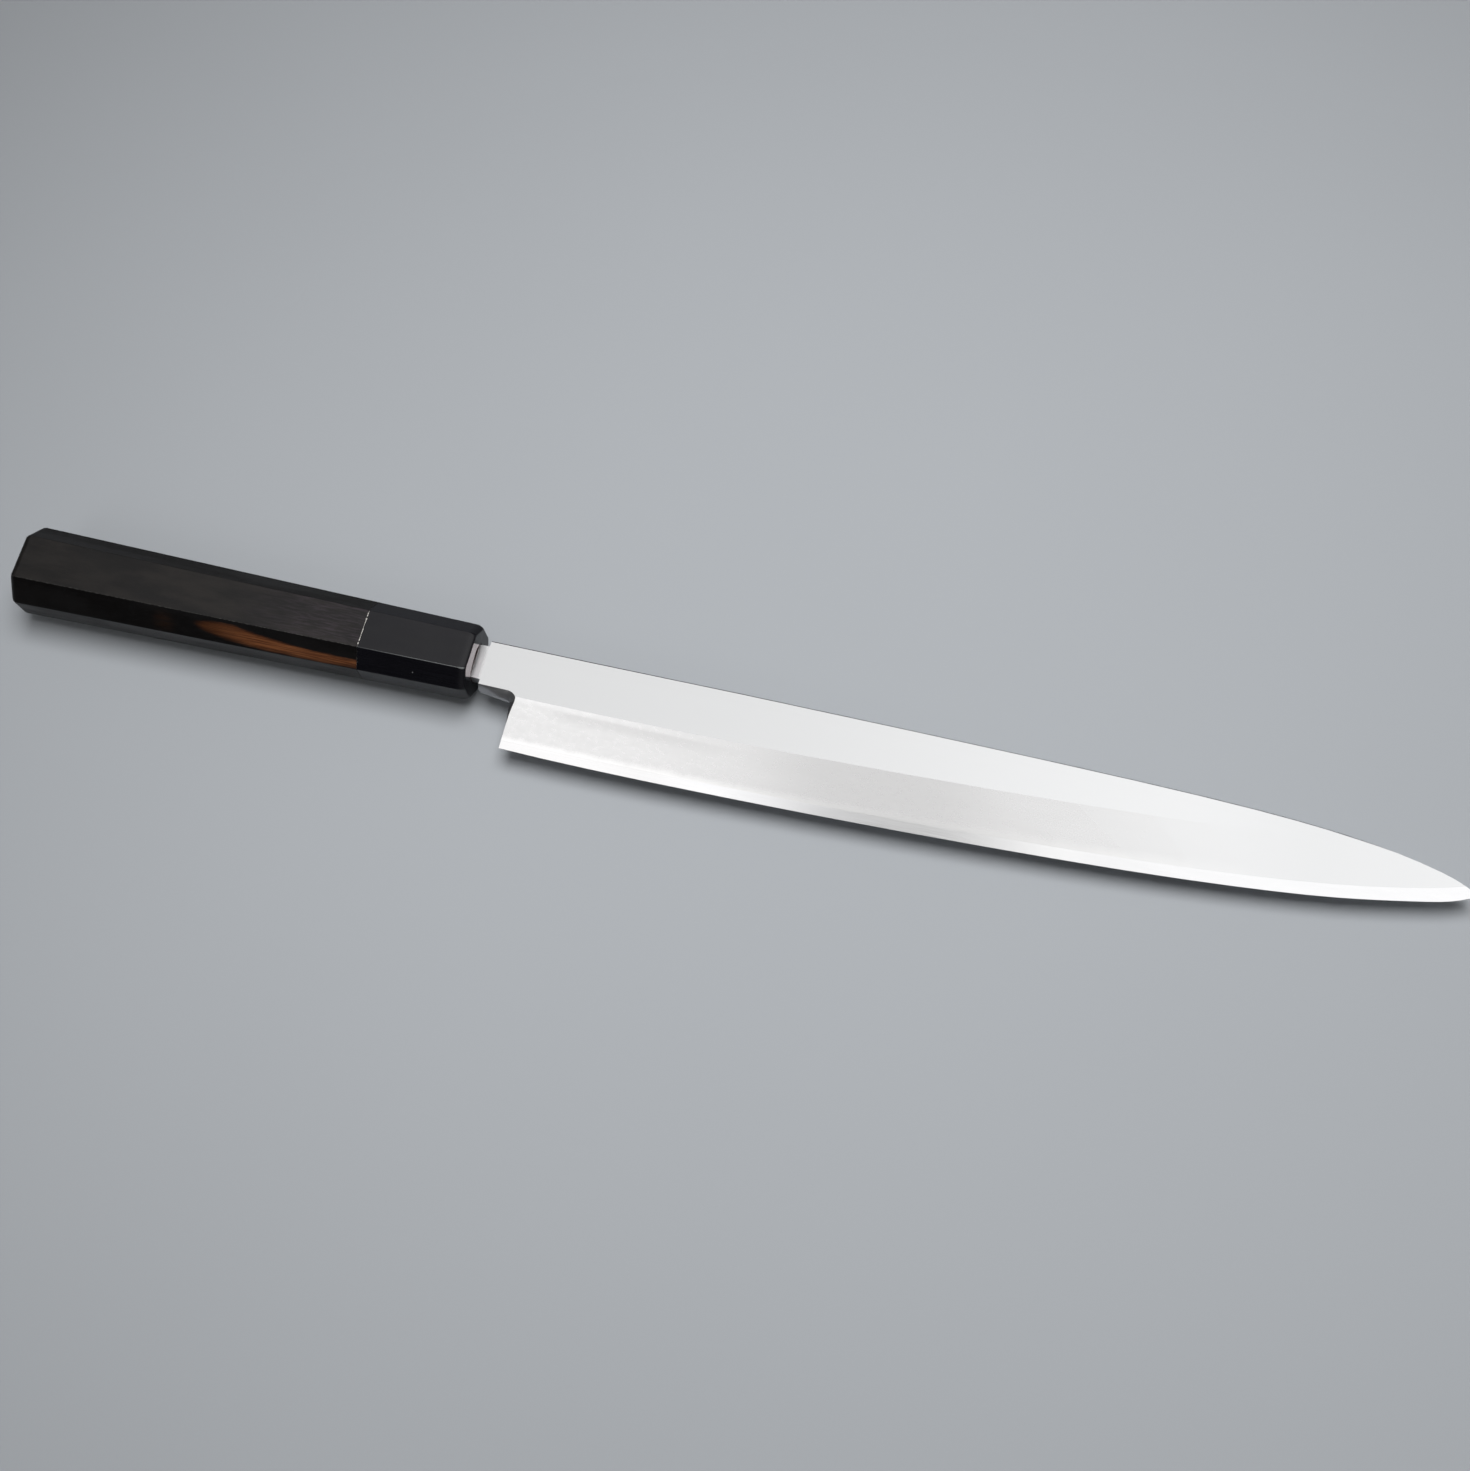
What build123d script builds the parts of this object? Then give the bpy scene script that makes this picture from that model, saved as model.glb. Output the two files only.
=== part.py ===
from build123d import *
import os
from math import atan, cos, degrees, pi, sin

# A slicing knife with a single-bevel laminated blade and an octagonal wooden handle.
# X runs along the knife towards the tip, +Y towards the spine, and +Z is up with the
# knife lying on its back. The origin is on the knife's axis, at the front face of the
# ferrule. All sizes are in millimetres.

# Blade, seen from above
blade_reach = 300.0  # ferrule to tip
spine_height = 7.55  # axis to the highest point of the spine
heel_depth = 24.5  # axis to the corner of the heel
tip_drop = 5.6  # axis to the tip
heel_setback = 14.0  # ferrule to the corner of the heel
heel_lean = 0.45  # how far the heel line leans towards the tip
heel_top_depth = 17.3  # axis to the upper end of the heel line
choil_setback = 13.75  # ferrule to the upper end of the choil, above the heel line
choil_radius = 1.45

# Places along the blade, and how high the spine and how deep the edge lie there,
# counted from the level of the tip
station_shares = (0.10, 0.25, 0.40, 0.55, 0.70, 0.80, 0.88, 0.95, 0.98)
spine_shares = (0.987, 0.998, 0.990, 0.970, 0.920, 0.838, 0.684, 0.411, 0.22)
edge_shares = (1.017, 1.007, 0.957, 0.874, 0.750, 0.623, 0.471, 0.270, 0.151)
lead_out_x_share = 1.03
lead_out_depth_share = -0.2

# Blade, in thickness
neck_thickness = 4.2
point_thickness = 1.7
edge_thickness = 0.2
heel_bevel_width = 16.0
point_bevel_width = 17.4
core_neck_thickness = 0.88
core_point_thickness = 0.55
spine_chamfer = 0.35

# Hollow-ground back
edge_rim = 2.4
spine_rim = 2.0
heel_rim = 4.0
wheel_radius = 170.0
hollow_start_share = 0.62  # how wide the hollow starts, as a share of its full width

# Neck, shoulders and tang
shoulder_setback = 3.05  # ferrule to the shoulders
neck_spine_height = 7.4
neck_edge_depth = 8.3
neck_sag = 1.3  # how much deeper the neck is at the choil
neck_rounding_width = 1.3  # rounding of the neck on the front side, at the shoulder
choil_rounding_width = 2.7
neck_rounding_depth = 2.2
rounding_height_shares = (0, 0.40, 0.74, 1)
rounding_width_shares = (0, 0.28, 0.62, 1)
tang_width = 11.0
tang_end_width = 5.0
tang_end_thickness = 2.6
tang_length = 98.0  # inside the handle

# Handle and ferrule: one tapered octagon, cut across at the joint
handle_length = 150.4  # with the ferrule
ferrule_length = 34.5
butt_width = 26.8
butt_thickness = 21.3
butt_bevel_width = 6.2
front_width = 21.9
front_thickness = 19.0
front_bevel_width = 5.1
bevel_rise_share = 1.06  # rise of the handle's bevels, as a share of their width
butt_rounding_length = 2.2  # along the knife
butt_rounding_depth = 2.0  # across it
ferrule_rounding_length = 2.6
ferrule_rounding_depth = 1.1
long_edge_radius = 0.35
end_corner_radius = 2.4  # rounding of the section's corners at the two ends
end_rounding_steps = 6

# Dowel, tang hole and glue
dowel_diameter = 13.5
dowel_in_ferrule = 26.0
dowel_in_handle = 32.0
dowel_end_gap = 0.3
slot_clearance = 0.45
slot_end_gap = 1.0
slot_relief_height = 1.9  # filed out above the tang, at the front of the ferrule
slot_relief_depth = 6.0
slot_relief_shares = ((-0.85, 0.3), (-0.2, 0.8), (0.45, 1), (0.9, 0.25))  # of its half width and height
bedding_recess = 0.2
glue_film = 0.12
glue_setback = 0.25
overrun = 2.0

# Worked out from the sizes above
back_z = -neck_thickness / 2
tip_y = -tip_drop
neck_end_depth = neck_edge_depth + neck_sag
tip = (blade_reach, tip_y)
joint_x = -ferrule_length
glue_x = joint_x - glue_film
top_slope = degrees(atan((neck_thickness - point_thickness) / blade_reach))
back_plane = Plane.XY.offset(back_z)
top_plane = Plane.XY.offset(back_z + neck_thickness).rotated((0, top_slope, 0))


def between(start, end, share):
    return start + (end - start) * share


def thickness_at(x):
    return between(neck_thickness, point_thickness, x / blade_reach)


def spine_y(share):
    return between(tip_y, spine_height, share)


def edge_y(share):
    return between(tip_y, -heel_depth, share)


def bevel_width_at(x):
    return between(heel_bevel_width, point_bevel_width, x / blade_reach)


def bevel_foot(x, y):
    """Where the bevel, run on through the edge, meets the plane of the back."""
    rise = thickness_at(x) - edge_thickness
    return (x, y - edge_thickness * bevel_width_at(x) / rise)


def bevel_head(x, y):
    """Where the bevel meets the flat of the blade."""
    return (x, y + bevel_width_at(x))


def notch(share):
    """Corners of the neck's near side and the choil, drawn in by a share of the rounding's width."""
    inwards = share * choil_rounding_width
    return (
        (shoulder_setback, share * neck_rounding_width - neck_edge_depth),
        (choil_setback - choil_radius, inwards - neck_end_depth),
        (choil_setback + inwards, -neck_end_depth - choil_radius),
        (heel_setback + heel_lean + inwards, -heel_top_depth),
        (heel_setback + inwards, -heel_depth),
    )


def octagon(x):
    """The corners of the handle's section at one place along the knife."""
    share = -x / handle_length
    half_width = between(front_width, butt_width, share) / 2
    half_thickness = between(front_thickness, butt_thickness, share) / 2
    bevel_width = between(front_bevel_width, butt_bevel_width, share)
    side = half_thickness - bevel_rise_share * bevel_width
    quarter = [(half_width, side), (half_width - bevel_width, half_thickness)]
    upper = quarter + [(-y, z) for y, z in reversed(quarter)]
    return upper + [(y, -z) for y, z in reversed(upper)]


def facets():
    """The planes of the handle's eight long faces, facing outwards."""
    front, butt = octagon(0), octagon(-handle_length)
    planes = []
    for (y, z), (next_y, next_z), (butt_y, butt_z) in zip(front, front[1:] + front[:1], butt):
        along = Vector(handle_length, y - butt_y, z - butt_z)
        across = Vector(0, next_y - y, next_z - z)
        planes.append(Plane(origin=(0, y, z), x_dir=along, z_dir=across.cross(along)))
    return planes


def rounded_end(end_x, length, depth, inward):
    """Sections of a rounded end, drawn in step by step until the flat at end_x."""
    sections = []
    for step in range(1, end_rounding_steps + 1):
        share = step / end_rounding_steps
        turn = pi / 2 * share
        x = end_x + inward * length * (1 - sin(turn))
        with BuildSketch(Plane.YZ.offset(x)) as section:
            Polygon(*octagon(x), align=None)
            offset(amount=-depth * (1 - cos(turn)), kind=Kind.INTERSECTION, mode=Mode.REPLACE)
            fillet(section.vertices(), radius=between(long_edge_radius, end_corner_radius, share))
        sections.append(section.sketch)
    return sections


# Outline of the blade and the neck, seen from above
spine_points = [
    (station * blade_reach, spine_y(share)) for station, share in zip(station_shares, spine_shares)
]
edge_points = [
    (station * blade_reach, edge_y(share)) for station, share in zip(station_shares, edge_shares)
]

shoulder, neck_end, choil_top, heel_top, heel_corner = notch(0)

with BuildPart() as blade_block:
    with BuildSketch(back_plane.offset(-overrun)):
        with BuildLine():
            Spline(heel_corner, *edge_points, tip)
            Spline(tip, *reversed(spine_points), (shoulder_setback, neck_spine_height))
            neck = Polyline((shoulder_setback, neck_spine_height), shoulder, neck_end)
            choil = RadiusArc(neck @ 1, choil_top, choil_radius)
            Polyline(choil @ 1, heel_top, heel_corner)
        make_face()
    extrude(amount=neck_thickness + 2 * overrun)

# Everything behind the bevel: its slanted wall runs from the edge up to the flat
wedge_points = [(0, -heel_depth), *edge_points, (
    lead_out_x_share * blade_reach, edge_y(lead_out_depth_share)
)]
far_y = spine_height + point_bevel_width + overrun

with BuildPart() as bevel_wedge:
    for plane, foot in ((back_plane, bevel_foot), (top_plane, bevel_head)):
        with BuildSketch(plane):
            with BuildLine():
                wall = Spline(*[foot(x, y) for x, y in wedge_points])
                Polyline(wall @ 1, ((wall @ 1).X, far_y), (0, far_y), wall @ 0)
            make_face()
    loft(ruled=True)

# What the rounding takes off the neck and the choil: the space beside them, wider higher up
with BuildPart() as neck_rounding:
    for height_share, width_share in zip(rounding_height_shares, rounding_width_shares):
        height = neck_thickness - neck_rounding_depth * (1 - height_share)
        shoulder, neck_end, choil_top, heel_top, heel_corner = notch(width_share)
        near_end = (-overrun, shoulder[1])
        with BuildSketch(back_plane.offset(height)):
            with BuildLine():
                neck = Polyline(near_end, shoulder, neck_end)
                choil = RadiusArc(neck @ 1, choil_top, choil_radius + width_share * choil_rounding_width)
                Polyline(choil @ 1, heel_top, heel_corner, (-overrun, -heel_depth), near_end)
            make_face()
    loft()

# The shallow hollow of the back, narrower where the blade narrows
hollow_start = heel_setback + heel_lean + heel_rim
hollow_stations = [(hollow_start, hollow_start_share, -heel_depth, spine_height)]
hollow_stations += [
    (edge[0], 1, edge[1], spine[1]) for edge, spine in zip(edge_points[:-1], spine_points[:-1])
]

with BuildPart() as back_hollow:
    for x, width_share, low, high in hollow_stations:
        middle = (low + edge_rim + high - spine_rim) / 2
        half = (high - spine_rim - low - edge_rim) / 2 * width_share
        depth = half**2 / (2 * wheel_radius)
        with BuildSketch(Plane.YZ.offset(x)):
            with BuildLine():
                ThreePointArc((middle - half, back_z), (middle, back_z + depth), (middle + half, back_z))
                Polyline(
                    (middle + half, back_z),
                    (middle + half, back_z - overrun),
                    (middle - half, back_z - overrun),
                    (middle - half, back_z),
                )
            make_face()
    loft()

with BuildPart() as tang:
    with BuildSketch(Plane.YZ.offset(shoulder_setback)):
        with Locations((0, back_z + thickness_at(shoulder_setback) / 2)):
            Rectangle(tang_width, thickness_at(shoulder_setback))
    with BuildSketch(Plane.YZ.offset(-tang_length)):
        Rectangle(tang_end_width, tang_end_thickness)
    loft(ruled=True)

# The layer of hard steel on the back, from the heel line forwards
heel_plane = Plane(
    origin=(heel_setback, -heel_depth, 0),
    x_dir=(0, 0, 1),
    z_dir=(heel_depth - heel_top_depth, -heel_lean, 0),
)

with BuildPart() as core_layer:
    with BuildSketch(Plane.XZ):
        with BuildLine():
            Polyline(
                (0, back_z - overrun),
                (blade_reach + overrun, back_z - overrun),
                (blade_reach + overrun, back_z + core_point_thickness),
                (0, back_z + core_neck_thickness),
                close=True,
            )
        make_face()
    extrude(amount=heel_depth + overrun, both=True)
    split(bisect_by=heel_plane, keep=Keep.TOP)

with BuildPart() as blade_cladding:
    add(blade_block.part)
    add(bevel_wedge.part, mode=Mode.INTERSECT)
    add(back_hollow.part, mode=Mode.SUBTRACT)
    add(core_layer.part, mode=Mode.SUBTRACT)
    add(neck_rounding.part, mode=Mode.SUBTRACT)
    flat_face = blade_cladding.faces().sort_by(Axis.Z)[-1]
    chamfer(flat_face.edges().sort_by(Axis.Y)[-1], length=spine_chamfer)
    add(tang.part)

with BuildPart() as blade_core_steel:
    add(blade_block.part)
    add(bevel_wedge.part, mode=Mode.INTERSECT)
    add(back_hollow.part, mode=Mode.SUBTRACT)
    add(core_layer.part, mode=Mode.INTERSECT)

# The tapered hole for the tang, through the ferrule and the dowel into the handle
with BuildPart() as tang_hole:
    for x, width, thickness in (
        (0, tang_width, neck_thickness),
        (-tang_length - slot_end_gap, tang_end_width, tang_end_thickness),
    ):
        with BuildSketch(Plane.YZ.offset(x)):
            Rectangle(width + 2 * slot_clearance, thickness + 2 * slot_clearance)
    loft(ruled=True)

# The mouth of that hole, filed wider above the tang
half_slot = tang_width / 2 + slot_clearance
relief_top = [
    (side * half_slot, neck_thickness / 2 + slot_clearance + rise * slot_relief_height)
    for side, rise in slot_relief_shares
]

with BuildPart() as slot_relief:
    with BuildSketch(Plane.YZ):
        with BuildLine():
            rim = Polyline(*relief_top)
            Polyline(
                rim @ 1, ((rim @ 1).X, neck_thickness / 2), ((rim @ 0).X, neck_thickness / 2), rim @ 0
            )
        make_face()
    extrude(amount=-slot_relief_depth)

ferrule_socket_x = joint_x + dowel_in_ferrule + dowel_end_gap
handle_socket_x = glue_x - dowel_in_handle - dowel_end_gap

with BuildPart() as ferrule:
    with BuildSketch(Plane.YZ.offset(joint_x)):
        Rectangle(butt_width, butt_thickness)
    extrude(amount=ferrule_length - ferrule_rounding_length)
    for facet in facets():
        split(bisect_by=facet, keep=Keep.BOTTOM)
    fillet(ferrule.edges().filter_by(Plane.YZ, reverse=True), radius=long_edge_radius)
    front_face = ferrule.faces().sort_by(Axis.X)[-1]
    loft([front_face, *rounded_end(0, ferrule_rounding_length, ferrule_rounding_depth, inward=-1)])
    with BuildSketch(Plane.YZ.offset(joint_x)):
        Circle(dowel_diameter / 2)
    extrude(amount=ferrule_socket_x - joint_x, mode=Mode.SUBTRACT)
    add(tang_hole.part, mode=Mode.SUBTRACT)
    add(slot_relief.part, mode=Mode.SUBTRACT)

with BuildPart() as handle_body:
    with BuildSketch(Plane.YZ.offset(glue_x)):
        Rectangle(butt_width, butt_thickness)
    extrude(amount=-(handle_length - butt_rounding_length + glue_x))
    for facet in facets():
        split(bisect_by=facet, keep=Keep.BOTTOM)
    fillet(handle_body.edges().filter_by(Plane.YZ, reverse=True), radius=long_edge_radius)
    butt_face = handle_body.faces().sort_by(Axis.X)[0]
    loft([butt_face, *rounded_end(-handle_length, butt_rounding_length, butt_rounding_depth, inward=1)])
    with BuildSketch(Plane.YZ.offset(glue_x)):
        Circle(dowel_diameter / 2)
    extrude(amount=handle_socket_x - glue_x, mode=Mode.SUBTRACT)
    add(tang_hole.part, mode=Mode.SUBTRACT)

with BuildPart() as tenon_dowel:
    with BuildSketch(Plane.YZ.offset(glue_x - dowel_in_handle)):
        Circle(dowel_diameter / 2)
    extrude(amount=dowel_in_handle + glue_film + dowel_in_ferrule)
    add(tang_hole.part, mode=Mode.SUBTRACT)

with BuildPart() as joint_glue_film:
    with BuildSketch(Plane.YZ.offset(glue_x)):
        Polygon(*octagon(glue_x), align=None)
        offset(amount=-glue_setback, kind=Kind.INTERSECTION, mode=Mode.REPLACE)
        Circle(dowel_diameter / 2, mode=Mode.SUBTRACT)
    extrude(amount=glue_film)

with BuildPart() as tang_bedding:
    add(tang_hole.part)
    split(bisect_by=Plane.YZ.offset(-bedding_recess), keep=Keep.BOTTOM)
    add(tang.part, mode=Mode.SUBTRACT)

pieces = {
    "blade_cladding": blade_cladding,
    "blade_core_steel": blade_core_steel,
    "handle_body": handle_body,
    "ferrule": ferrule,
    "tenon_dowel": tenon_dowel,
    "joint_glue_film": joint_glue_film,
    "tang_bedding": tang_bedding,
}
os.makedirs("parts", exist_ok=True)
for name, piece in pieces.items():
    piece.part.label = name
    export_step(piece.part, f"parts/{name}.step")
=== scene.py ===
from math import atan2, cos, pi, radians, sin

import bmesh
import bpy
from mathutils import Matrix, Vector, noise

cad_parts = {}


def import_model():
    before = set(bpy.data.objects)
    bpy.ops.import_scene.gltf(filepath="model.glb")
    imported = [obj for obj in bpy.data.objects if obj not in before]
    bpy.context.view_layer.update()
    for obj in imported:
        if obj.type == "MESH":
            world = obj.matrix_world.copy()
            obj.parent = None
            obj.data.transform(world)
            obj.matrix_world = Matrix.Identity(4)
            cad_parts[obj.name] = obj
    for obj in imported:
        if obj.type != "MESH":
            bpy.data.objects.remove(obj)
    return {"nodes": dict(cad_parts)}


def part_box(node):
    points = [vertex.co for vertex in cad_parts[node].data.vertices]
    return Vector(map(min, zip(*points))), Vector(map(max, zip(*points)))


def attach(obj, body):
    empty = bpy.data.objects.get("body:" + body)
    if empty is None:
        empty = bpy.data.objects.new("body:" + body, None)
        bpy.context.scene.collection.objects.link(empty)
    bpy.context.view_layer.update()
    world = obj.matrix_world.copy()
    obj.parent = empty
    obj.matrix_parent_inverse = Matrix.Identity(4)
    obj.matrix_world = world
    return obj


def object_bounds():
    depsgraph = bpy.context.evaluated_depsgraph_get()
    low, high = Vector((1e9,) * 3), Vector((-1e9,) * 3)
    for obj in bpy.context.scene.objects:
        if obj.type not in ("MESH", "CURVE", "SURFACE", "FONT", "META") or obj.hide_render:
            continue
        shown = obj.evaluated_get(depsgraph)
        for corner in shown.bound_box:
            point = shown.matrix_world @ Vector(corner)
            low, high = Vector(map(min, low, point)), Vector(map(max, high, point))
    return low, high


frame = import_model()
cad_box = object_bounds()

# The knife lies along X with its tip at +X and its spine towards +Y.
# Sizes and places are in millimetres, and MM turns them into metres. Angles are in degrees, and
# colours are linear red, green and blue.
MM = 0.001

# Camera: the place that it looks at, and where it stands from there
camera_target = (83.254, -5.513, 0.0)
camera_azimuth = 25.08
camera_elevation = 69.56
camera_roll = -11.67
camera_distance = 538.28
camera_lens = 44.08
sensor_width = 36.0
nearest_seen = 10.0

# Handle: one tapered octagon with a horn ferrule in front
handle_length = -cad_box[0].x / MM
joint_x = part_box("ferrule")[0].x / MM
front_half_thickness = 9.5
butt_half_thickness = 10.65
half_thickness_taper = (front_half_thickness - butt_half_thickness) / handle_length
front_bevel_rise = 5.406
butt_bevel_rise = 6.572
bevel_rise_taper = (front_bevel_rise - butt_bevel_rise) / handle_length

# Blade: where its back lies, and the layer of hard steel in it
blade_back_z = -2.1
tip_x = cad_box[1].x / MM
core_neck_thickness = 0.88
core_point_thickness = 0.55

# Smear of dry glue on the upper face, along the joint
smear_far_y = 5.9
smear_near_y = -5.3
smear_half_width = 0.24
smear_height = 0.04
smear_wander = 0.3
smear_mean_share = 0.45
smear_share_swing = 1.2
smear_steps = 120

# Waves per millimetre in the smear's width and in its middle line, and where their noises are read
smear_width_waves = 1.7
smear_width_seed = (0.0, 1.0)
smear_middle_waves = 0.9
smear_middle_seed = (3.0, 7.0)

# Floor: the butt's lower edge stands on it, and it runs a little below the ferrule
ferrule_gap = 0.6
floor_size = 6000.0
floor_colour = (0.455, 0.478, 0.505)
floor_mottling = 0.03
floor_roughness = 0.7
floor_grains = (0.004, 0.004, 0.004)

# Far from the knife the floor brightens into the backdrop
sweep_start = 420.0
sweep_end = 2400.0
sweep_glow = 0.45

# Studio: how bright it is where it only fills shadows, and where the camera looks past the floor
fill_level = 0.10
backdrop_level = 0.75

# What polished surfaces mirror: a sky that starts at a level past the butt and changes in steps along
# X (from, to, by how much), dimmed low down, with patches (direction, reach, depth or height)
butt_sky_level = 0.16
sky_steps = (
    (-0.56, -0.28, 0.76),
    (-0.16, 0.12, 0.20),
    (0.30, 0.42, 0.18),
    (0.50, 0.66, -0.28),
)
horizon_share = 0.12
full_sky_z = 0.75
patch_core_share = 0.3
dark_patches = (
    ((-0.435, -0.745, 0.505), 0.85, 0.97),
    ((-0.004, -0.10, 0.99), 0.125, 0.90),
)
bright_patches = (
    ((-0.34, -0.16, 0.93), 0.34, 0.55),
)

# Lamps: place, where they point, side of the square face, how bright the face looks, and spread
lamps = {
    "overhead": ((110.0, 190.0, 840.0), (150.0, -80.0, 0.0), 600.0, 2.5, 105.0),
    "near_fill": ((-300.0, -400.0, 350.0), (-120.0, -20.0, -10.0), 300.0, 0.09, 42.0),
}


class Graph:
    """Builds the nodes of a material or of the world."""

    def __init__(self, tree):
        self.tree = tree

    def node(self, kind):
        return self.tree.nodes.new(kind)

    def link(self, value, socket):
        """Joins an output to a socket, or sets the socket to a plain value."""
        if isinstance(value, bpy.types.NodeSocket):
            self.tree.links.new(value, socket)
        else:
            socket.default_value = value

    def join(self, made, values):
        """Gives a node its first inputs and returns its outputs."""
        for value, socket in zip(values, made.inputs):
            self.link(value, socket)
        return made.outputs

    def vector(self, operation, *values):
        made = self.node("ShaderNodeVectorMath")
        made.operation = operation
        return self.join(made, values)[0]

    def scale(self, value, factor):
        made = self.node("ShaderNodeVectorMath")
        made.operation = "SCALE"
        made.inputs["Scale"].default_value = factor
        return self.join(made, (value,))[0]

    def distance(self, a, b):
        made = self.node("ShaderNodeVectorMath")
        made.operation = "DISTANCE"
        return self.join(made, (a, b))["Value"]

    def split(self, value):
        return self.join(self.node("ShaderNodeSeparateXYZ"), (value,))

    def math(self, operation, *values):
        made = self.node("ShaderNodeMath")
        made.operation = operation
        return self.join(made, values)[0]

    def times(self, first, *others):
        """The product of all the values."""
        for other in others:
            first = self.math("MULTIPLY", first, other)
        return first

    def ramp(self, value, start, end, low=0.0, high=1.0):
        """A smooth step from low at start to high at end."""
        made = self.node("ShaderNodeMapRange")
        made.interpolation_type = "SMOOTHSTEP"
        names = ("Value", "From Min", "From Max", "To Min", "To Max")
        for name, given in zip(names, (value, start, end, low, high)):
            self.link(given, made.inputs[name])
        return made.outputs["Result"]

    def stretch(self, value, start, full, fade, end):
        """1 from full to fade, with smooth steps from 0 at start and to 0 at end."""
        return self.times(self.ramp(value, start, full), self.ramp(value, end, fade))

    def mix(self, share, first, second):
        """Mixes two colours."""
        made = self.node("ShaderNodeMix")
        made.data_type = "RGBA"
        self.link(share, made.inputs[0])
        for colour, socket in ((first, made.inputs[6]), (second, made.inputs[7])):
            self.link((*colour, 1.0) if isinstance(colour, tuple) else colour, socket)
        return made.outputs[2]

    def blend(self, share, first, second):
        """Mixes two numbers."""
        made = self.node("ShaderNodeMix")
        self.link(share, made.inputs[0])
        self.link(first, made.inputs[2])
        self.link(second, made.inputs[3])
        return made.outputs[0]


class Surface(Graph):
    """Builds one material, with places in millimetres."""

    def __init__(self, name):
        self.material = bpy.data.materials.new(name)
        self.material.use_nodes = True
        super().__init__(self.material.node_tree)
        self.shader = self.tree.nodes["Principled BSDF"]
        self.place = self.scale(self.node("ShaderNodeTexCoord").outputs["Object"], 1 / MM)
        self.x, self.y, self.z = self.split(self.place)

    def facing(self):
        """The direction that the face points in, as x, y and z."""
        return self.split(self.node("ShaderNodeNewGeometry").outputs["True Normal"])

    def noise(self, grains, detail=3.0, roughness=0.5, offset=(0.0, 0.0, 0.0)):
        """Noise with so many grains per millimetre along x, y and z."""
        moved = self.vector("ADD", self.place, offset)
        made = self.node("ShaderNodeTexNoise")
        made.inputs["Scale"].default_value = 1.0
        made.inputs["Detail"].default_value = detail
        made.inputs["Roughness"].default_value = roughness
        self.link(self.vector("MULTIPLY", moved, grains), made.inputs["Vector"])
        return made.outputs["Fac"]

    def curve(self, value, points, low, high):
        """Follows points (place, height) as value goes along them, with heights from low to high."""
        start, end = points[0][0], points[-1][0]
        along = self.node("ShaderNodeMapRange")
        for given, name in ((value, "Value"), (start, "From Min"), (end, "From Max")):
            self.link(given, along.inputs[name])
        made = self.node("ShaderNodeFloatCurve")
        line = made.mapping.curves[0]
        spots = [((place - start) / (end - start), (height - low) / (high - low)) for place, height in points]
        line.points[0].location = spots[0]
        line.points[-1].location = spots[-1]
        for spot in spots[1:-1]:
            line.points.new(*spot)
        made.mapping.update()
        self.link(along.outputs["Result"], made.inputs["Value"])
        return self.math("MULTIPLY_ADD", made.outputs[0], high - low, low)

    def bump(self, height, distance):
        """Raises the surface by up to distance millimetres where height is 1."""
        made = self.node("ShaderNodeBump")
        made.inputs["Strength"].default_value = 1.0
        made.inputs["Distance"].default_value = distance * MM
        self.link(height, made.inputs["Height"])
        return made.outputs[0]

    def finish(self, **sockets):
        for name, value in sockets.items():
            socket = self.shader.inputs[name.replace("_", " ")]
            self.link((*value, 1.0) if isinstance(value, tuple) else value, socket)
        return self.material


# A noise's mean, the range of most of its values, and the range of the middle ones
mean_noise = 0.5
most_noise = (0.3, 0.7)
middle_noise = (0.35, 0.65)


def dress(node, material):
    """Gives a carried-over part its material."""
    for slot in frame["nodes"][node].material_slots:
        slot.material = material


# Soft iron: colours, where a pair is the ends of a mottling
flat_colours = (0.80, 0.805, 0.81), (0.84, 0.845, 0.85)
# Painted highlight on the flat where it leaves the ferrule's slot
flat_slot_highlight_colour = (0.96, 0.96, 0.97)
flat_point_colour = (0.775, 0.78, 0.785)
bevel_colours = (0.78, 0.775, 0.775), (0.84, 0.835, 0.835)
# The grey serves both a mottling and painted shade
bevel_grey = (0.66, 0.655, 0.655)
bevel_near_steel = (0.92, 0.915, 0.91)
# Painted highlight on the ridge
bevel_ridge_highlight = (0.90, 0.895, 0.895)
side_colours = (0.36, 0.36, 0.37), (0.50, 0.50, 0.51)
# Painted shadow on the spine, darkest near the handle, fading into the spine's own colour
spine_shadow_colours = (0.05, 0.05, 0.055), (0.40, 0.41, 0.41)

# How far up the flat and the bevels point: the ends of the steps between sides, bevel and flat
bevel_slope = (0.85, 0.93)
flat_slope = (0.988, 0.994)

# Places on the blade where its look changes
# Stretch of the flat's painted highlight by the slot, and below it where the slot dulls the flat
slot_highlight_reach = (4.0, 0.5)
slot_dullness = (3.0, 1.5)
flat_point_start = (215.0, 260.0)
# Where painted shade on the bevel starts near the point
bevel_point_start = (225.0, 285.0)
spine_shadow_fade = (10.0, 150.0)
spine_y = (4.0, 6.0)
# Stretch of painted shade halfway along the bevel
halfway_shade_reach = (82.0, 115.0, 140.0, 172.0)

# Ridge between the flat and the bevel: where it lies near the heel, how wide its painted highlight is and
# where that ends, and the stretch under it with painted shade
ridge_y = -8.9
ridge_reach = 1.6
ridge_highlight_end = (75.0, 35.0)
under_ridge_drop = (0.8, 1.8, 2.2, 5.5)
under_ridge_reach = (22.0, 34.0, 60.0, 90.0)

# Uneven line between the iron and the hard steel, and heights over it where the iron brightens
line_waviness = 0.5
line_glow = (0.75, 0.15)

# How far each of these takes the bevel's colour from its own: mottling, painted shade halfway, near the
# point and under the ridge, the steel's nearness, and a painted highlight on the ridge
haze_share = 0.04
halfway_shade_share = 0.45
point_shade_share = 0.4
under_ridge_shade_share = 0.55
near_steel_share = 0.75
ridge_highlight_share = 0.6

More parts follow.
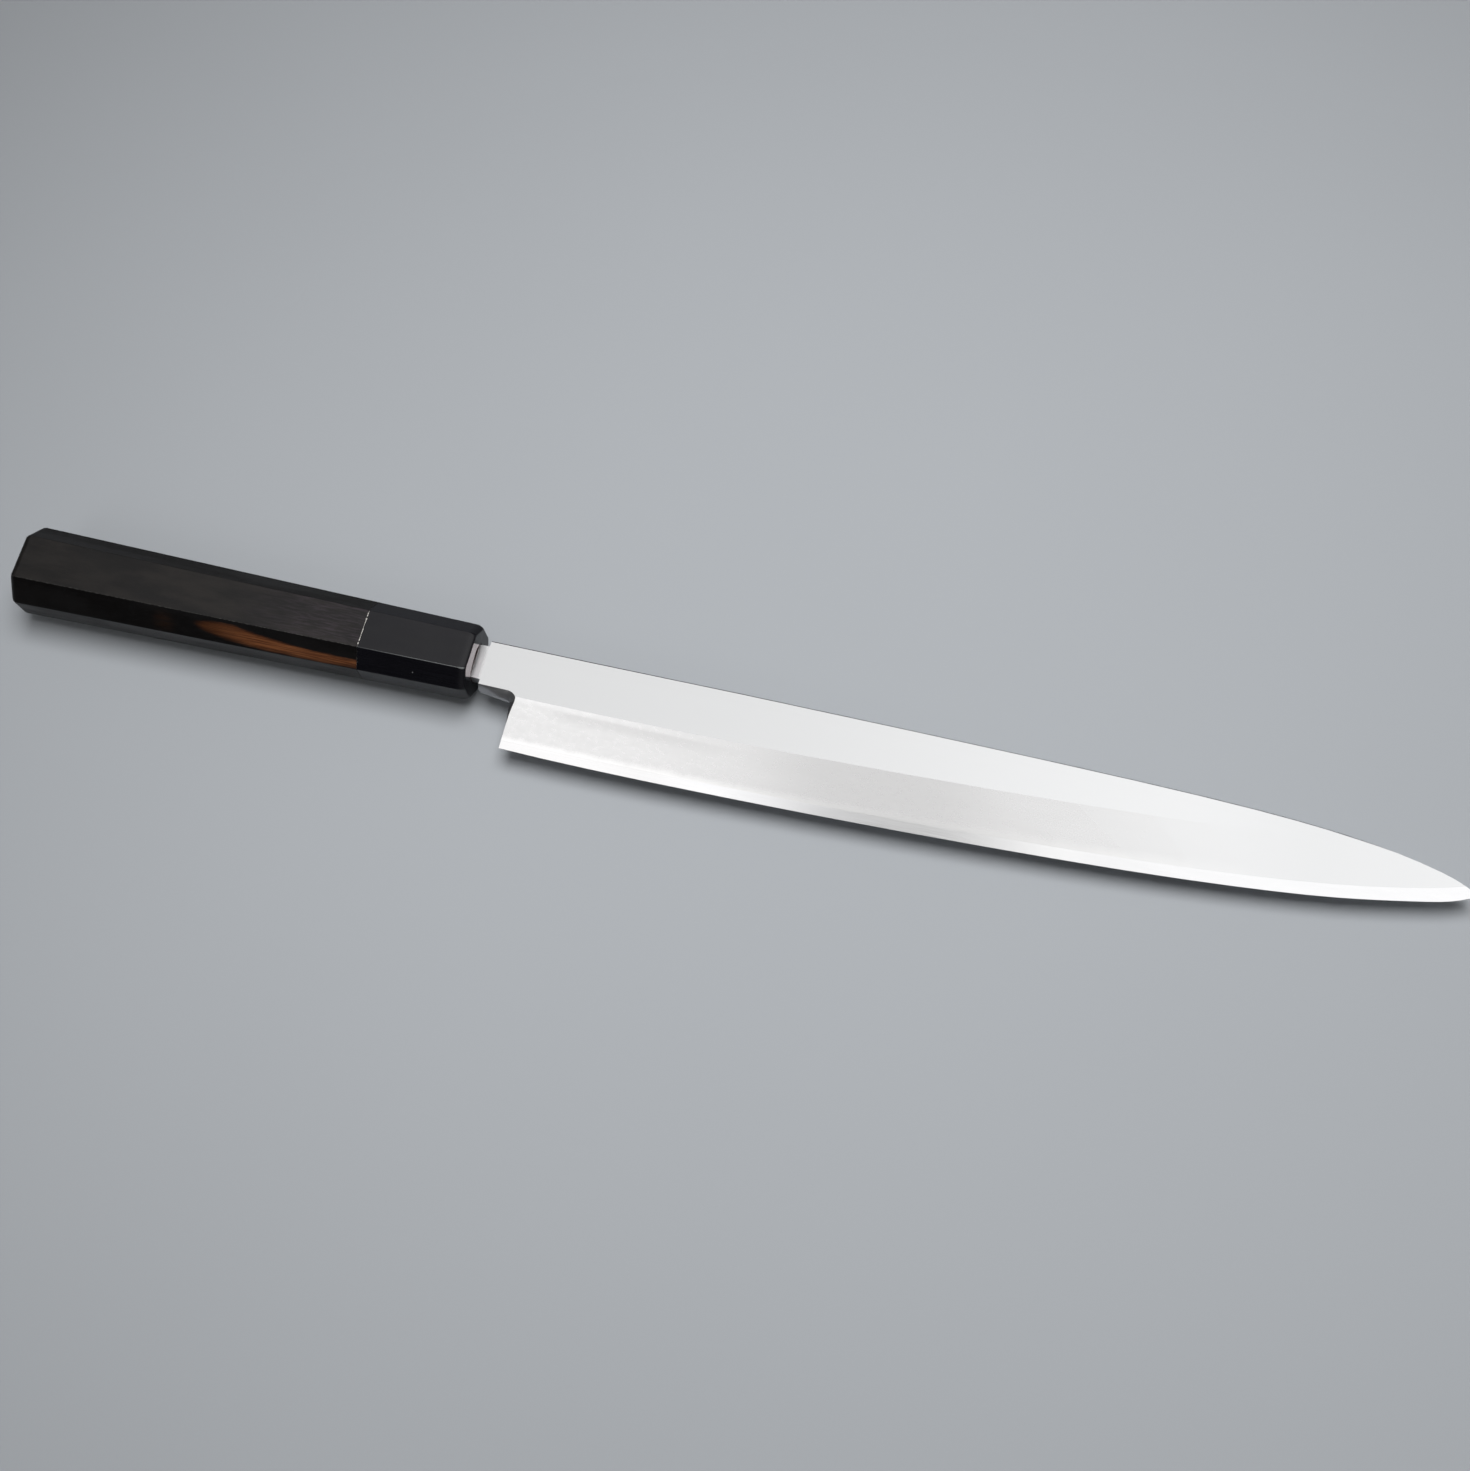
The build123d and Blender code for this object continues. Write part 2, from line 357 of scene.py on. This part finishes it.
# Roughness, where a pair is its range, and the height of the polishing marks
flat_roughness = (0.20, 0.25)
slot_roughness = 0.38
bevel_roughness = (0.27, 0.30)
near_steel_roughness = 0.22
side_roughness = 0.42
flat_mark_height = 0.0012
bevel_mark_share = 0.08

# Grains per millimetre in the iron: along its grinding, in the bevel's mottling and haze, from the
# stone, and in the line next to the hard steel
grinding_grains = (0.035, 9.0, 9.0)
bevel_grains = (0.04, 0.22, 0.22)
haze_grains = (0.5, 0.9, 0.9)
stone_grains = (4.0, 0.5, 0.5)
line_grains = (0.16, 0.0, 0.0)


def iron_flat(graph, along):
    """The flat's colour: a painted highlight where it leaves the slot, and a little darker near the point."""
    colour = graph.mix(along, *flat_colours)
    colour = graph.mix(graph.ramp(graph.x, *slot_highlight_reach), colour, flat_slot_highlight_colour)
    return graph.mix(graph.ramp(graph.x, *flat_point_start), colour, flat_point_colour)


def iron_bevel(graph, haze, near_steel):
    """The misty bevel's colour: mottled, with painted shade in places, brighter near the steel, and a painted
    highlight on the ridge.
    """
    colour = graph.mix(graph.noise(bevel_grains), *bevel_colours)
    colour = graph.mix(graph.times(haze, haze_share), colour, bevel_grey)

    # Painted shade under the ridge, halfway along and near the point
    drop = graph.math("SUBTRACT", ridge_y, graph.y)
    under_ridge_shade = graph.times(
        graph.stretch(drop, *under_ridge_drop), graph.stretch(graph.x, *under_ridge_reach)
    )
    painted_shade = graph.times(graph.stretch(graph.x, *halfway_shade_reach), halfway_shade_share)
    painted_shade = graph.math("ADD", painted_shade, graph.ramp(graph.x, *bevel_point_start, 0.0, point_shade_share))
    painted_shade = graph.math("MULTIPLY_ADD", under_ridge_shade, under_ridge_shade_share, painted_shade)
    colour = graph.mix(painted_shade, colour, bevel_grey)
    colour = graph.mix(graph.times(near_steel, near_steel_share), colour, bevel_near_steel)

    # Painted highlight along the ridge, from the heel
    off_ridge = graph.math("ABSOLUTE", graph.math("SUBTRACT", graph.y, ridge_y))
    ridge_highlight = graph.times(graph.ramp(off_ridge, ridge_reach, 0.0), graph.ramp(graph.x, *ridge_highlight_end))
    return graph.mix(graph.times(ridge_highlight, ridge_highlight_share), colour, bevel_ridge_highlight)


def iron_sides(graph, along):
    """The colour of the sides, the back and the tang, with a spine darkened towards the handle by a painted
    shadow.
    """
    spine_shadow = graph.mix(graph.ramp(graph.x, *spine_shadow_fade), *spine_shadow_colours)
    return graph.mix(graph.ramp(graph.y, *spine_y), graph.mix(along, *side_colours), spine_shadow)


def cladding():
    """Soft iron: a polished flat, a misty bevel, and plainer sides, back and tang."""
    graph = Surface("soft_iron")
    up = graph.facing()[2]
    flat = graph.ramp(up, *flat_slope)
    upper = graph.ramp(up, *bevel_slope)
    along = graph.noise(grinding_grains, detail=4.0)
    haze = graph.noise(haze_grains, detail=4.0, roughness=0.6)
    stone = graph.noise(stone_grains, detail=2.0, roughness=0.6)

    # Where the iron comes near the layer of hard steel, along an uneven line
    core_slope = (core_point_thickness - core_neck_thickness) / tip_x
    core_top = graph.math("MULTIPLY_ADD", graph.x, core_slope, blade_back_z + core_neck_thickness)
    wave = graph.noise(line_grains, detail=4.0, roughness=0.6)
    line = graph.math("MULTIPLY_ADD", wave, line_waviness, graph.math("SUBTRACT", graph.z, core_top))
    near_steel = graph.ramp(line, *line_glow)

    colour = graph.mix(flat, iron_bevel(graph, haze, near_steel), iron_flat(graph, along))
    colour = graph.mix(upper, iron_sides(graph, along), colour)

    flat_rough = graph.ramp(along, *most_noise, *flat_roughness)
    flat_rough = graph.blend(graph.ramp(graph.x, *slot_dullness), flat_rough, slot_roughness)
    bevel_rough = graph.ramp(haze, *most_noise, *bevel_roughness)
    bevel_rough = graph.blend(near_steel, bevel_rough, near_steel_roughness)
    rough = graph.blend(upper, side_roughness, graph.blend(flat, bevel_rough, flat_rough))

    marks = graph.blend(flat, graph.times(stone, bevel_mark_share), along)
    return graph.finish(
        Base_Color=colour, Metallic=1.0, Roughness=rough, Normal=graph.bump(marks, flat_mark_height)
    )


# Hard steel: colours, with painted shade near the heel and a painted highlight in the middle of the
# edge, roughness, the height of the polishing marks, and grains per millimetre in the marks and in the
# mottling
steel_colours = (0.85, 0.85, 0.86), (0.90, 0.90, 0.905)
# Painted shade near the heel
steel_heel_shade_colour = (0.74, 0.735, 0.735)
# Painted highlight in the middle of the edge
steel_middle_highlight_colour = (0.97, 0.97, 0.97)
steel_heel_shade_end = (85.0, 55.0)
steel_middle_highlight_reach = (115.0, 138.0, 178.0, 200.0)
steel_roughness = (0.13, 0.18)
steel_mark_height = 0.0008
steel_mark_grains = (0.05, 12.0, 12.0)
steel_grains = (0.08, 0.5, 0.5)


def core_steel():
    """Hard steel along the edge: brighter and more finely polished than the iron."""
    graph = Surface("hard_steel")
    fine = graph.noise(steel_mark_grains)
    colour = graph.mix(graph.noise(steel_grains, detail=2.0), *steel_colours)
    # Painted shade near the heel and a painted highlight in the middle
    colour = graph.mix(graph.ramp(graph.x, *steel_heel_shade_end), colour, steel_heel_shade_colour)
    colour = graph.mix(graph.stretch(graph.x, *steel_middle_highlight_reach), colour, steel_middle_highlight_colour)
    rough = graph.ramp(fine, *most_noise, *steel_roughness)
    return graph.finish(
        Base_Color=colour, Metallic=1.0, Roughness=rough, Normal=graph.bump(fine, steel_mark_height)
    )


# Rounded long edge between the handle's upper face and its near bevel: how far up and sideways its
# faces point
long_edge_slope = (0.72, 0.77, 0.975, 0.995)
long_edge_side = (-0.12, -0.20)

# How strongly the handle's faces shine: fully on top, less on the near and the far bevels and sides
top_shine = 0.5
side_shine = 0.27
far_shine = 0.06

# How far up a face points where its shine turns full, and how far towards the spine where it turns dull
full_shine_slope = (0.80, 0.99)
dull_shine_side = (0.2, 0.5)


def near_long_edge(graph):
    """1 on the small rounding between the upper face and the near bevel of the handle."""
    facing = graph.facing()
    return graph.times(graph.stretch(facing[2], *long_edge_slope), graph.ramp(facing[1], *long_edge_side))


def handle_shine(graph):
    """Specular level: full on the upper face, less on faces that are seldom rubbed."""
    facing = graph.facing()
    low = graph.ramp(facing[1], *dull_shine_side, side_shine, far_shine)
    return graph.ramp(facing[2], *full_shine_slope, low, top_shine)


# Ebony: colours
black_colours = (0.0020, 0.0018, 0.0018), (0.0060, 0.0050, 0.0050)
# Painted sheen of the upper face
top_sheen_colour = (0.0125, 0.0105, 0.0095)
pore_colour = (0.0015, 0.0015, 0.0015)
# Painted highlight on the upper face towards the ferrule
top_highlight_colour = (0.033, 0.025, 0.031)
sapwood_colours = (0.080, 0.024, 0.008), (0.215, 0.078, 0.028)
dark_sapwood_colour = (0.022, 0.008, 0.003)
faint_patch_colour = (0.022, 0.009, 0.004)
# Painted highlight on the long edge
edge_highlight_colour = (0.075, 0.075, 0.07)

# Ebony: roughness and what open pores add to it, the pores' depth, how high the fibres stand next to
# that, and the oil's index of refraction
ebony_roughness = (0.30, 0.44)
pore_roughness = 0.15
pore_depth = 0.012
fibre_share = 0.5
oil_ior = 1.45

# Grains per millimetre in the wood: fibres, pores, clouds, ragged edges, the clouds of the painted sheen,
# dashes of the painted highlight along the long edge, and lines in the sapwood
fibre_grains = (0.05, 2.6, 2.6)
pore_grains = (0.28, 7.0, 7.0)
cloud_grains = (0.03, 0.13, 0.13)
ragged_grains = (0.18, 1.6, 1.6)
sheen_cloud_grains = (0.045, 0.16, 0.16)
dash_grains = (0.9, 0.0, 0.0)
sapwood_grains = (0.07, 3.4, 3.4)

# Values of a noise from which pores, the painted sheen, the dashes of the painted edge highlight and the
# faint patch show, and where they are full
pore_noise = (0.60, 0.68)
sheen_cloud_noise = (0.40, 0.68)
dash_noise = (0.42, 0.60)
faint_noise = (0.35, 0.6)

# Painted highlight on the upper face towards the ferrule: the stretch of the handle, heights as shares
# of the bevel's rise, and how the clouds weaken it
top_highlight_start = (-82.0, -44.0)
top_highlight_height = (0.98, 1.04)
top_highlight_cloud = (0.2, 0.6)
top_highlight_cloud_shares = (0.5, 1.0)

# How far up a face points where the upper face's painted sheen starts and where it is full
sheen_slope = (0.9, 0.98)

# Streak of sapwood on the near upper bevel: places along the knife, and heights as shares of the
# bevel's rise
streak_upper_share = (
    (-89.0, 0.66), (-83.0, 0.82), (-76.0, 0.86), (-69.0, 0.72), (-57.0, 0.55), (-47.0, 0.47), (-34.0, 0.43)
)
streak_lower_share = (
    (-89.0, 0.60), (-83.0, 0.30), (-75.0, 0.15), (-67.0, 0.06), (-57.0, 0.02), (-47.0, 0.00), (-34.0, 0.05)
)
streak_lowest_share = -0.2
streak_raggedness = 0.16
streak_start = (-89.5, -84.0)
streak_near_y = (-6.0, -6.6)
streak_dark_end = (-86.0, -66.0)
streak_upper_softness = (-0.02, 0.14)
streak_lower_softness = (-0.06, 0.22)
bevel_foot_shares = (1.03, 0.98)

# Faint brown patch further towards the butt
faint_place = (-98.0, -9.9, 6.6)
faint_reach = (5.0, 1.0)
faint_share = 0.55

# How much of their colours the pores, the long edge's painted highlight and the streak's dark end show
pore_share = 0.6
edge_highlight_share = 0.7
streak_dark_share = 0.65


def sapwood_streak(graph, drop, rise, height):
    """1 inside the streak, from how far below the upper face a place is and its share of the rise."""
    top = graph.curve(graph.x, streak_upper_share, streak_lowest_share, 1.0)
    bottom = graph.curve(graph.x, streak_lower_share, streak_lowest_share, 1.0)
    below_top = graph.ramp(graph.math("SUBTRACT", top, height), *streak_upper_softness)
    above_bottom = graph.ramp(graph.math("SUBTRACT", height, bottom), *streak_lower_softness)
    inside = graph.times(graph.ramp(graph.x, *streak_start), graph.ramp(graph.y, *streak_near_y))
    on_bevel = graph.ramp(drop, *(graph.times(rise, share) for share in bevel_foot_shares))
    return graph.times(below_top, above_bottom, inside, on_bevel)


def sapwood(graph):
    """The streak's colour: fine orange-brown lines that darken towards the butt."""
    lines = graph.noise(sapwood_grains, detail=4.0, roughness=0.6, offset=(12.0, 4.0, 3.0))
    colour = graph.mix(graph.ramp(lines, *middle_noise), *sapwood_colours)
    dark = graph.ramp(graph.x, *streak_dark_end, streak_dark_share, 0.0)
    return graph.mix(dark, colour, dark_sapwood_colour)


def ebony():
    """Oiled black wood with fine lengthwise grain and a streak of sapwood."""
    graph = Surface("ebony")
    fibre = graph.noise(fibre_grains, detail=5.0, roughness=0.65)
    pores = graph.noise(pore_grains, roughness=0.6, offset=(31.0, 5.0, 7.0))
    cloud = graph.noise(cloud_grains, roughness=0.6)
    ragged = graph.noise(ragged_grains, detail=4.0, roughness=0.65, offset=(3.0, 9.0, 2.0))
    sheen_clouds = graph.noise(sheen_cloud_grains, detail=5.0, roughness=0.62, offset=(7.0, 2.0, 6.0))
    dashes = graph.ramp(graph.noise(dash_grains, offset=(2.0, 0.0, 0.0)), *dash_noise)
    open_pores = graph.ramp(pores, *pore_noise)

    # Height on the bevel: 1 at its upper edge and 0 at its lower one, with a ragged line
    half = graph.math("MULTIPLY_ADD", graph.x, half_thickness_taper, front_half_thickness)
    rise = graph.math("MULTIPLY_ADD", graph.x, bevel_rise_taper, front_bevel_rise)
    drop = graph.math("SUBTRACT", half, graph.z)
    height = graph.math("SUBTRACT", 1.0, graph.math("DIVIDE", drop, rise))
    ragged_part = graph.math("SUBTRACT", ragged, mean_noise)
    height = graph.math("MULTIPLY_ADD", ragged_part, streak_raggedness, height)

    # Black wood with dark pores, a painted sheen in smoky clouds on the upper face, and a painted highlight
    # on it towards the ferrule
    on_top = graph.ramp(graph.facing()[2], *sheen_slope)
    colour = graph.mix(fibre, *black_colours)
    colour = graph.mix(graph.times(graph.ramp(sheen_clouds, *sheen_cloud_noise), on_top), colour, top_sheen_colour)
    colour = graph.mix(graph.times(open_pores, pore_share), colour, pore_colour)
    top_highlight = graph.times(graph.ramp(graph.x, *top_highlight_start), graph.ramp(height, *top_highlight_height))
    top_highlight = graph.times(top_highlight, graph.ramp(cloud, *top_highlight_cloud, *top_highlight_cloud_shares))
    colour = graph.mix(top_highlight, colour, top_highlight_colour)

    # The streak, the faint patch beyond it, and a painted highlight in dashes along the long edge
    colour = graph.mix(sapwood_streak(graph, drop, rise, height), colour, sapwood(graph))
    off_patch = graph.distance(graph.place, faint_place)
    faint = graph.times(
        graph.ramp(off_patch, *faint_reach), graph.ramp(ragged, *faint_noise), faint_share
    )
    colour = graph.mix(faint, colour, faint_patch_colour)
    edge_highlight = graph.times(near_long_edge(graph), dashes, edge_highlight_share)
    colour = graph.mix(edge_highlight, colour, edge_highlight_colour)

    rough = graph.ramp(cloud, *middle_noise, *ebony_roughness)
    rough = graph.math("MULTIPLY_ADD", open_pores, pore_roughness, rough)
    relief = graph.math("SUBTRACT", graph.times(fibre, fibre_share), open_pores)
    return graph.finish(
        Base_Color=colour, Roughness=rough, IOR=oil_ior, Specular_IOR_Level=handle_shine(graph),
        Normal=graph.bump(relief, pore_depth)
    )


# Horn: colours
horn_colours = (0.0030, 0.0028, 0.0042), (0.0080, 0.0078, 0.0105)
speck_colour = (0.2, 0.2, 0.2)
# Painted highlight on the long edge
horn_edge_highlight_colour = (0.18, 0.19, 0.19)
# Painted reflection of the blade on the front face, speckled with dust
blade_reflection_and_dust_colour = (0.55, 0.46, 0.48)

# Horn: roughness, how strongly its front face and its painted, dusty reflection of the blade there shine,
# its index of refraction and the height of its polishing marks
horn_roughness = (0.16, 0.26)
front_shine = 0.25
reflection_strip_shine = 0.65
horn_ior = 1.42
horn_mark_height = 0.0015

# Grains per millimetre in the horn: layers, smears, polishing marks, and the dust in the painted reflection
layer_grains = (0.06, 0.9, 0.9)
horn_smear_grains = (0.12, 0.3, 0.3)
horn_mark_grains = (2.0, 6.0, 6.0)
reflection_dust_grains = (3.0, 3.0, 3.0)

# Light speck in the horn, and the stretch where its long edge gets a painted highlight
speck_place = (-16.5, -9.31, 6.11)
speck_reach = (0.26, 0.14)
horn_edge_highlight_start = (-34.0, -14.0)
horn_edge_highlight_shares = (0.35, 0.9)

# How far forward the front face points
front_slope = (0.9, 0.96)

# Painted reflection of the blade on the ferrule's front face above the tang, speckled with dust: its ends,
# how soft they are, how far they lean as it rises, and how its noise weakens it
reflection_near_y = -4.9
reflection_far_y = 6.2
reflection_soft_end = 0.2
reflection_lean = 0.37
reflection_dust_noise = (0.25, 0.6)
reflection_dust_noise_shares = (0.6, 1.0)


def horn():
    """Polished black horn with faint lengthwise layers, a painted highlight on the long edge, and a painted
    reflection of the blade, speckled with dust, on the front above the tang.
    """
    graph = Surface("black_horn")
    layers = graph.noise(layer_grains, detail=4.0, roughness=0.6)
    smear = graph.noise(horn_smear_grains, roughness=0.6, offset=(4.0, 8.0, 1.0))
    fine = graph.noise(horn_mark_grains, detail=2.0)
    off_speck = graph.distance(graph.place, speck_place)
    # Painted highlight along the long edge
    edge_highlight = graph.times(near_long_edge(graph), graph.ramp(graph.x, *horn_edge_highlight_start, *horn_edge_highlight_shares))
    colour = graph.mix(layers, *horn_colours)
    colour = graph.mix(graph.ramp(off_speck, *speck_reach), colour, speck_colour)
    colour = graph.mix(edge_highlight, colour, horn_edge_highlight_colour)

    # Painted reflection of the blade on the front face above the tang, speckled with dust
    front = graph.ramp(graph.facing()[0], *front_slope)
    leaning = graph.math("MULTIPLY_ADD", graph.z, reflection_lean, graph.y)
    over_tang = graph.stretch(
        leaning, reflection_near_y, reflection_near_y + reflection_soft_end, reflection_far_y - reflection_soft_end, reflection_far_y
    )
    reflection_and_dust = graph.ramp(graph.noise(reflection_dust_grains), *reflection_dust_noise, *reflection_dust_noise_shares)
    colour = graph.mix(graph.times(front, over_tang, reflection_and_dust), colour, blade_reflection_and_dust_colour)

    rough = graph.ramp(smear, *middle_noise, *horn_roughness)
    shine = graph.blend(front, handle_shine(graph), graph.blend(over_tang, front_shine, reflection_strip_shine))
    return graph.finish(
        Base_Color=colour, Roughness=rough, IOR=horn_ior, Specular_IOR_Level=shine,
        Normal=graph.bump(fine, horn_mark_height)
    )


# Glue, resin and the dowel's wood: grains per millimetre, colours and roughness
glue_grains = (1.5, 1.5, 1.5)
glue_colours = (0.42, 0.40, 0.37), (0.68, 0.66, 0.62)
glue_roughness = 0.6
resin_grains = (0.8, 0.8, 0.8)
resin_colours = (0.022, 0.011, 0.012), (0.050, 0.023, 0.024)
resin_roughness = 0.55
dowel_grains = (0.08, 2.0, 2.0)
dowel_colours = (0.46, 0.31, 0.18), (0.64, 0.47, 0.30)
dowel_roughness = 0.6


def mottled(name, grains, colours, roughness, detail=3.0):
    """A plain dull material whose colour wanders between two."""
    graph = Surface(name)
    colour = graph.mix(graph.noise(grains, detail=detail), *colours)
    return graph.finish(Base_Color=colour, Roughness=roughness)


def glue():
    """Dry pale glue, a little uneven."""
    return mottled("pale_glue", glue_grains, glue_colours, glue_roughness)


def resin():
    """Dull reddish brown resin that beds the tang."""
    return mottled("bedding_resin", resin_grains, resin_colours, resin_roughness)


def dowel_wood():
    """Plain turned wood."""
    return mottled("dowel_wood", dowel_grains, dowel_colours, dowel_roughness, detail=4.0)


def glue_smear(material):
    """A thin uneven line of glue that has squeezed out of the joint."""
    face_z = front_half_thickness + half_thickness_taper * joint_x
    built = bmesh.new()
    rows = []
    for step in range(smear_steps + 1):
        y = smear_far_y + (smear_near_y - smear_far_y) * step / smear_steps
        swing = noise.noise((smear_width_waves * y, *smear_width_seed))
        width = smear_half_width * max(0.0, smear_mean_share + smear_share_swing * swing)
        sway = noise.noise((smear_middle_waves * y, *smear_middle_seed))
        centre = joint_x + smear_wander * smear_half_width * sway
        shape = ((-width, 0.0), (0.0, smear_height), (width, 0.0))
        rows.append([built.verts.new(Vector((centre + dx, y, face_z + dz)) * MM) for dx, dz in shape])
    for near, far in zip(rows[1:], rows):
        for left, right in ((0, 1), (1, 2)):
            built.faces.new((near[left], near[right], far[right], far[left]))
    mesh = bpy.data.meshes.new("glue_smear")
    built.to_mesh(mesh)
    built.free()
    made = bpy.data.objects.new("glue_smear", mesh)
    bpy.context.scene.collection.objects.link(made)
    mesh.materials.append(material)
    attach(made, "root")


def floor_board():
    """A plain board that brightens far from the knife, for the camera alone."""
    graph = Surface("floor_board")
    soft = graph.noise(floor_grains, detail=2.0)
    darker = tuple((1 - floor_mottling) * part for part in floor_colour)
    top_highlight = tuple((1 + floor_mottling) * part for part in floor_colour)
    far = graph.ramp(graph.distance(graph.place, camera_target), sweep_start, sweep_end, 0.0, sweep_glow)
    glow = graph.times(far, graph.node("ShaderNodeLightPath").outputs["Is Camera Ray"])
    return graph.finish(
        Base_Color=graph.mix(soft, darker, top_highlight), Roughness=floor_roughness,
        Emission_Color=(1.0, 1.0, 1.0), Emission_Strength=glow
    )


def floor():
    """A pale blue-grey board on which the knife lies."""
    floor_z = -front_half_thickness - ferrule_gap
    tilt = atan2(floor_z + butt_half_thickness, handle_length)
    mesh = bpy.data.meshes.new("floor")
    half = floor_size * MM / 2
    corners = [(-half, -half, 0), (half, -half, 0), (half, half, 0), (-half, half, 0)]
    mesh.from_pydata(corners, [], [(0, 1, 2, 3)])
    mesh.materials.append(floor_board())
    made = bpy.data.objects.new("floor", mesh)
    bpy.context.scene.collection.objects.link(made)
    made.rotation_euler = (0.0, -tilt, 0.0)
    made.location = (0.0, 0.0, floor_z * MM)


def world():
    """A dim fill; what polished surfaces mirror is a pale studio, darker in places."""
    made = bpy.data.worlds.new("studio")
    bpy.context.scene.world = made
    made.use_nodes = True
    made.cycles.sampling_method = "NONE"
    graph = Graph(made.node_tree)
    direction = graph.node("ShaderNodeTexCoord").outputs["Generated"]
    x, _, z = graph.split(direction)

    level = butt_sky_level
    for start, end, change in sky_steps:
        level = graph.math("ADD", level, graph.ramp(x, start, end, 0.0, change))
    level = graph.times(level, graph.ramp(z, 0.0, full_sky_z, horizon_share, 1.0))
    for centre, reach, depth in dark_patches:
        off_centre = graph.distance(direction, centre)
        level = graph.times(level, graph.ramp(off_centre, reach, patch_core_share * reach, 1.0, 1.0 - depth))
    for centre, reach, height in bright_patches:
        off_centre = graph.distance(direction, centre)
        more = graph.ramp(off_centre, reach, patch_core_share * reach, 0.0, height)
        level = graph.math("ADD", level, more)

    seen = graph.node("ShaderNodeLightPath")
    level = graph.blend(seen.outputs["Is Glossy Ray"], fill_level, level)
    level = graph.blend(seen.outputs["Is Camera Ray"], level, backdrop_level)
    background = made.node_tree.nodes["Background"]
    graph.link((1.0, 1.0, 1.0, 1.0), background.inputs["Color"])
    graph.link(level, background.inputs["Strength"])


def soft_light(name, place, target, size, radiance, spread):
    """A square softbox that polished surfaces don't mirror."""
    data = bpy.data.lights.new(name, "AREA")
    data.spread = radians(spread)
    data.shape = "SQUARE"
    data.size = size * MM
    data.energy = radiance * pi * data.size ** 2
    made = bpy.data.objects.new(name, data)
    bpy.context.scene.collection.objects.link(made)
    made.visible_glossy = False
    made.location = Vector(place) * MM
    made.rotation_mode = "QUATERNION"
    made.rotation_quaternion = (Vector(target) - Vector(place)).to_track_quat("-Z", "Y")


def camera():
    """Looks at the knife from where the photo was taken."""
    azimuth, elevation, roll = radians(camera_azimuth), radians(camera_elevation), radians(camera_roll)
    back = Vector((sin(azimuth) * cos(elevation), -cos(azimuth) * cos(elevation), sin(elevation)))
    level = Vector((0, 0, 1)).cross(back).normalized()
    upright = back.cross(level)
    right = cos(roll) * level + sin(roll) * upright
    up = cos(roll) * upright - sin(roll) * level
    place = (Vector(camera_target) + camera_distance * back) * MM
    data = bpy.data.cameras.new("camera")
    data.sensor_fit = "HORIZONTAL"
    data.sensor_width = sensor_width
    data.lens = camera_lens
    data.clip_start = nearest_seen * MM
    made = bpy.data.objects.new("camera", data)
    bpy.context.scene.collection.objects.link(made)
    made.matrix_world = Matrix.Translation(place) @ Matrix((right, up, back)).transposed().to_4x4()
    bpy.context.scene.camera = made


camera()
floor()
world()
for lamp, settings in lamps.items():
    soft_light(lamp, *settings)

dress("blade_cladding", cladding())
dress("blade_core_steel", core_steel())
dress("handle_body", ebony())
dress("ferrule", horn())
dry_glue = glue()
dress("joint_glue_film", dry_glue)
glue_smear(dry_glue)
dress("tang_bedding", resin())
dress("tenon_dowel", dowel_wood())

bpy.context.scene.view_settings.view_transform = "Standard"
